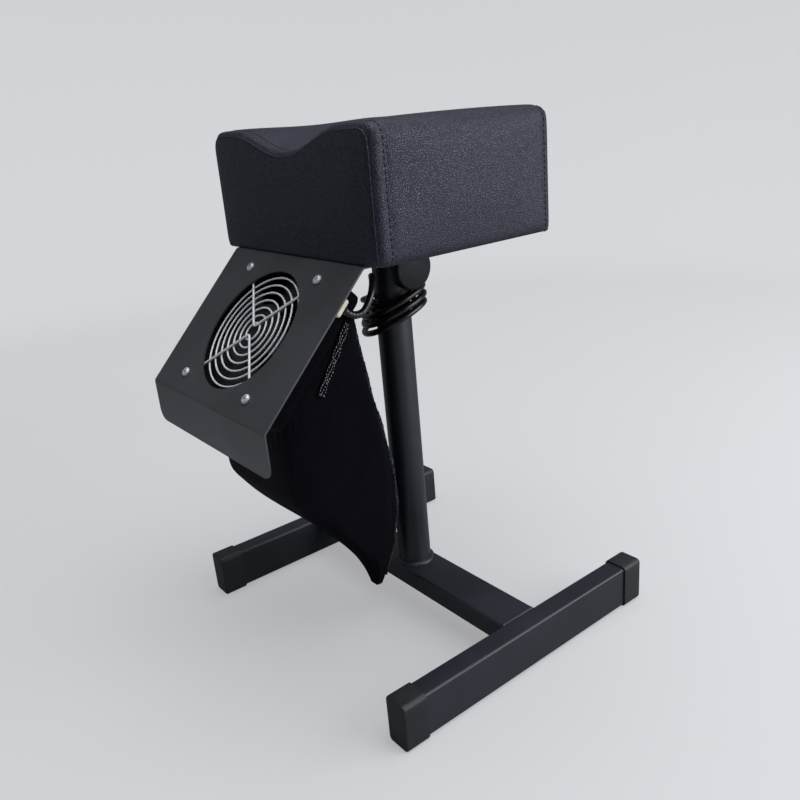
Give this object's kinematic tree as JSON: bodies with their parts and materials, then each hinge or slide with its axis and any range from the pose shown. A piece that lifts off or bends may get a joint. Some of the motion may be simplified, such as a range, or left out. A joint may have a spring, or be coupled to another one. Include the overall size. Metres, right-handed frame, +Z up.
{
  "type": "pedicure footrest",
  "caption": "Footrest on an H-shaped tube base: a padded saddle cushion on a clamped telescopic post, with a guarded dust fan on a sloping panel and a cloth dust bag below.",
  "frame": {"origin": "middle of the footprint on the floor, measured without the mains cord", "axes": "+Z up; the fan panel faces -Y; the clamp knob is on the +X side"},
  "size_m": [0.3284, 0.3414, 0.4653],
  "materials": {
    "powder_coat": "black satin powder coat",
    "cap_plastic": "matte",
    "bush_plastic": "matte",
    "knob_plastic": "satin",
    "bright_zinc": "bright zinc plate",
    "bare_steel": "drawn",
    "leatherette": "grained, satin",
    "plywood": "bare",
    "fan_casting": "satin",
    "fan_plastic": "satin",
    "bearing_bronze": "sintered",
    "bag_cloth": "napped",
    "hook_tape": "hook tape",
    "cord_vinyl": "soft vinyl",
    "cream_plastic": "satin"
  },
  "bodies": {
    "stand": {"runner_left": "powder_coat", "runner_right": "powder_coat", "cross_tube": "powder_coat", "end_cap_front_left": "cap_plastic", "end_cap_front_right": "cap_plastic", "end_cap_rear_left": "cap_plastic", "end_cap_rear_right": "cap_plastic", "post": "powder_coat", "post_bush": "bush_plastic", "clamp_boss": "powder_coat", "cord_lead": "cord_vinyl", "cord_winding": "cord_vinyl", "cord_tail": "cord_vinyl", "cord_plug": "cord_vinyl", "plug_pin_a": "bright_zinc", "plug_pin_b": "bright_zinc"},
    "head": {"stem": "bare_steel", "stem_guide": "bush_plastic", "mounting_plate": "powder_coat", "cushion_board": "plywood", "plate_screw_1": "bright_zinc", "plate_screw_2": "bright_zinc", "plate_screw_3": "bright_zinc", "plate_screw_4": "bright_zinc", "panel_screw_1": "bright_zinc", "panel_screw_2": "bright_zinc", "panel_screw_3": "bright_zinc", "cushion": "leatherette", "fan_panel": "powder_coat", "fan_housing": "fan_casting", "fan_motor": "bare_steel", "fan_bearing_front": "bearing_bronze", "fan_bearing_rear": "bearing_bronze", "finger_guard": "bright_zinc", "fan_screw_1": "bright_zinc", "fan_screw_2": "bright_zinc", "fan_screw_3": "bright_zinc", "fan_screw_4": "bright_zinc", "fan_nut_1": "bright_zinc", "fan_nut_2": "bright_zinc", "fan_nut_3": "bright_zinc", "fan_nut_4": "bright_zinc", "bag_collar": "bag_cloth", "hook_strip": "hook_tape", "dust_bag": "bag_cloth", "fan_connector": "cream_plastic"},
    "fan_rotor": {"fan_impeller": "fan_plastic", "fan_shaft": "bright_zinc"},
    "clamp": {"clamp_knob": "knob_plastic", "clamp_stud": "bright_zinc"}
  },
  "joints": [
    {"name": "height_slide", "type": "slide", "parent": "stand", "child": "head", "axis": [0, 0, 1], "range_m": [0, 0.12]},
    {"name": "fan_spin", "type": "hinge", "parent": "head", "child": "fan_rotor", "pos_m": [0, -0.1216, 0.31549], "axis": [0, -0.7133, 0.7009], "continuous": true},
    {"name": "clamp_turn", "type": "hinge", "parent": "stand", "child": "clamp", "pos_m": [0, 0.02326, 0.3411], "axis": [1, 0, 0], "range_deg": [0, 270]}
  ]
}
